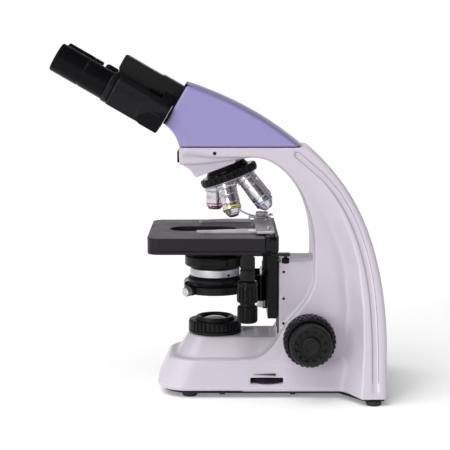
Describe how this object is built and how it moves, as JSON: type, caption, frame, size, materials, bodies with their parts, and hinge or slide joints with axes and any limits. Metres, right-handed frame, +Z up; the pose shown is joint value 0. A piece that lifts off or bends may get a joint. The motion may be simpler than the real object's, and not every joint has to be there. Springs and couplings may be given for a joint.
{
  "type": "microscope",
  "caption": "Upright laboratory microscope: inclined binocular head, revolving nosepiece, mechanical stage, condenser, coaxial focus knobs and a built-in lamp in a curved stand.",
  "frame": {"origin": "centre of the bounding box at table height, under the feet", "axes": "+Z up, the user looks in from -Y, +X is the user's right, the side of the stage knobs"},
  "size_m": [0.19, 0.3558, 0.377],
  "materials": {
    "stand_paint": "pale lilac-white enamel, satin",
    "base_black": "black, satin",
    "rubber": "matte",
    "screw_steel": "blackened",
    "lens_glass": "polished, coated",
    "mirror_glass": "front-silvered",
    "heat_sink": "bare",
    "circuit_board": "solder mask",
    "socket_plastic": "moulded",
    "brass_bush": "turned",
    "black_grip": "ribbed grip",
    "fine_knob_paint": "black, satin",
    "steel": "ground",
    "slide_black": "black, satin",
    "stage_coating": "wear-resistant black, fine grain",
    "belt_rubber": "matte",
    "holder_metal": "satin",
    "knurled_metal": "satin, knurled",
    "turret_metal": "polished",
    "objective_chrome": "polished",
    "head_paint": "lilac enamel, satin",
    "tube_black": "gloss black"
  },
  "bodies": {
    "stand": {"stand_casting": "stand_paint", "bottom_plate": "base_black", "rubber_feet": "rubber", "plate_screws": "screw_steel", "field_lens_mount": "base_black", "field_lens": "lens_glass", "fold_mirror": "mirror_glass", "collector_lens": "lens_glass", "led_module": "heat_sink", "power_board": "circuit_board", "power_inlet": "socket_plastic", "guide_rails": "base_black", "set_screws": "screw_steel", "focus_bushes": "brass_bush", "nosepiece_mount": "stand_paint", "nosepiece_hub": "base_black", "arm_port_cap": "base_black"},
    "field_ring": {"field_diaphragm_ring": "black_grip"},
    "dimmer": {"dimmer_wheel": "black_grip"},
    "switch": {"power_switch": "socket_plastic"},
    "coarse_focus": {"coarse_shaft": "steel", "coarse_knob_right": "black_grip", "coarse_knob_left": "black_grip"},
    "fine_focus": {"fine_knob_right": "fine_knob_paint", "fine_knob_left": "fine_knob_paint"},
    "tension": {"tension_collar": "black_grip"},
    "stage_carriage": {"focus_slide": "slide_black", "stage_base": "slide_black", "condenser_rail": "slide_black"},
    "stage_upper": {"stage_top": "stage_coating", "holder_rail": "slide_black", "knob_housing": "slide_black", "drive_belt": "belt_rubber"},
    "y_knob": {"stage_y_knob": "black_grip"},
    "x_knob": {"stage_x_knob": "black_grip"},
    "holder": {"specimen_holder": "holder_metal"},
    "lever": {"holder_lever": "holder_metal"},
    "condenser": {"condenser_fork": "slide_black", "condenser_body": "slide_black", "condenser_lens": "lens_glass", "condenser_stop_screw": "knurled_metal"},
    "aperture": {"aperture_ring": "knurled_metal"},
    "condenser_drive": {"condenser_knob": "black_grip"},
    "centering_right": {"centering_screw_right": "knurled_metal"},
    "centering_left": {"centering_screw_left": "knurled_metal"},
    "nosepiece": {"turret_ring": "black_grip", "turret_plate": "turret_metal", "objective_4x": "objective_chrome", "objective_10x": "objective_chrome", "objective_40x": "objective_chrome", "objective_100x": "objective_chrome"},
    "head": {"head_housing": "head_paint", "head_prism": "lens_glass", "front_plate": "tube_black", "bridge_cover": "tube_black"},
    "right_ocular": {"right_tube": "tube_black", "right_eyepiece": "tube_black"},
    "left_ocular": {"left_tube": "tube_black"},
    "diopter": {"diopter_ring": "black_grip"},
    "left_eye": {"left_eyepiece": "tube_black"}
  },
  "joints": [
    {"name": "field_diaphragm_turn", "type": "hinge", "parent": "stand", "child": "field_ring", "pos_m": [0, -0.0041, 0.07], "axis": [0, 0, 1], "range_deg": [-60, 60]},
    {"name": "dimmer_turn", "type": "hinge", "parent": "stand", "child": "dimmer", "pos_m": [0.042, 0.0519, 0.0186], "axis": [0, 0, 1], "range_deg": [0, 270]},
    {"name": "power_switch_rock", "type": "hinge", "parent": "stand", "child": "switch", "pos_m": [0.017, 0.1659, 0.037], "axis": [1, 0, 0], "range_deg": [-16, 0]},
    {"name": "stage_focus", "type": "slide", "parent": "stand", "child": "stage_carriage", "axis": [0, 0, 1], "range_m": [-0.015, 0.0015]},
    {"name": "coarse_turn", "type": "hinge", "parent": "stand", "child": "coarse_focus", "pos_m": [0, 0.0969, 0.065], "axis": [1, 0, 0], "range_deg": [-11, 108]},
    {"name": "fine_turn", "type": "hinge", "parent": "stand", "child": "fine_focus", "pos_m": [0, 0.0969, 0.065], "axis": [1, 0, 0], "continuous": true},
    {"name": "tension_turn", "type": "hinge", "parent": "stand", "child": "tension", "pos_m": [0, 0.0969, 0.065], "axis": [1, 0, 0], "range_deg": [-20, 20]},
    {"name": "stage_y", "type": "slide", "parent": "stage_carriage", "child": "stage_upper", "axis": [0, 1, 0], "range_m": [-0.03, 0.024]},
    {"name": "y_knob_turn", "type": "hinge", "parent": "stage_upper", "child": "y_knob", "pos_m": [0.058, 0.0309, 0.116], "axis": [0, 0, 1], "range_deg": [-368, 308]},
    {"name": "holder_x", "type": "slide", "parent": "stage_upper", "child": "holder", "axis": [1, 0, 0], "range_m": [-0.03, 0.03]},
    {"name": "x_knob_turn", "type": "hinge", "parent": "stage_upper", "child": "x_knob", "pos_m": [0.058, 0.0309, 0.093], "axis": [0, 0, 1], "range_deg": [-222, 222]},
    {"name": "holder_lever_open", "type": "hinge", "parent": "holder", "child": "lever", "pos_m": [-0.05, 0.0489, 0.183], "axis": [0, 0, 1], "range_deg": [-25, 0], "stiffness_Nm_per_rad": 0.02, "springref_deg": 5.73},
    {"name": "condenser_focus", "type": "slide", "parent": "stage_carriage", "child": "condenser", "axis": [0, 0, 1], "range_m": [-0.012, 0]},
    {"name": "condenser_knob_turn", "type": "hinge", "parent": "condenser", "child": "condenser_drive", "pos_m": [0, 0.0444, 0.114], "axis": [1, 0, 0], "range_deg": [-3, 203]},
    {"name": "aperture_turn", "type": "hinge", "parent": "condenser", "child": "aperture", "pos_m": [0, -0.0041, 0.1277], "axis": [0, 0, 1], "range_deg": [-30, 30]},
    {"name": "centering_right_turn", "type": "hinge", "parent": "condenser", "child": "centering_right", "pos_m": [0.03253, -0.03663, 0.111], "axis": [-0.7071, 0.7071, 0], "range_deg": [-180, 180]},
    {"name": "centering_left_turn", "type": "hinge", "parent": "condenser", "child": "centering_left", "pos_m": [-0.03253, -0.03663, 0.111], "axis": [0.7071, 0.7071, 0], "range_deg": [-180, 180]},
    {"name": "nosepiece_turn", "type": "hinge", "parent": "stand", "child": "nosepiece", "pos_m": [0, -0.0041, 0.276], "axis": [0, -0.3584, 0.9336], "continuous": true},
    {"name": "head_turn", "type": "hinge", "parent": "stand", "child": "head", "pos_m": [0, -0.0041, 0.268], "axis": [0, 0, 1], "continuous": true},
    {"name": "right_ocular_swing", "type": "hinge", "parent": "head", "child": "right_ocular", "pos_m": [0, -0.0438, 0.3157], "axis": [0, -0.866, 0.5], "range_deg": [-14, 22]},
    {"name": "left_ocular_swing", "type": "hinge", "parent": "head", "child": "left_ocular", "pos_m": [0, -0.0438, 0.3157], "axis": [0, -0.866, 0.5], "range_deg": [-22, 14]},
    {"name": "left_eye_focus", "type": "slide", "parent": "left_ocular", "child": "left_eye", "axis": [0, -0.866, 0.5], "range_m": [-0.0015, 0.0015]},
    {"name": "diopter_turn", "type": "hinge", "parent": "left_ocular", "child": "diopter", "pos_m": [-0.031, -0.0545, 0.29717], "axis": [0, -0.866, 0.5], "range_deg": [-61, 61]}
  ],
  "couplings": [
    {"joint": "coarse_turn", "follows": "stage_focus", "rad_per_m": -125},
    {"joint": "y_knob_turn", "follows": "stage_y", "rad_per_m": 208.33},
    {"joint": "x_knob_turn", "follows": "holder_x", "rad_per_m": -125},
    {"joint": "condenser_knob_turn", "follows": "condenser_focus", "rad_per_m": -277.78},
    {"joint": "left_ocular_swing", "follows": "right_ocular_swing", "ratio": -1},
    {"joint": "diopter_turn", "follows": "left_eye_focus", "rad_per_m": 698.13}
  ]
}
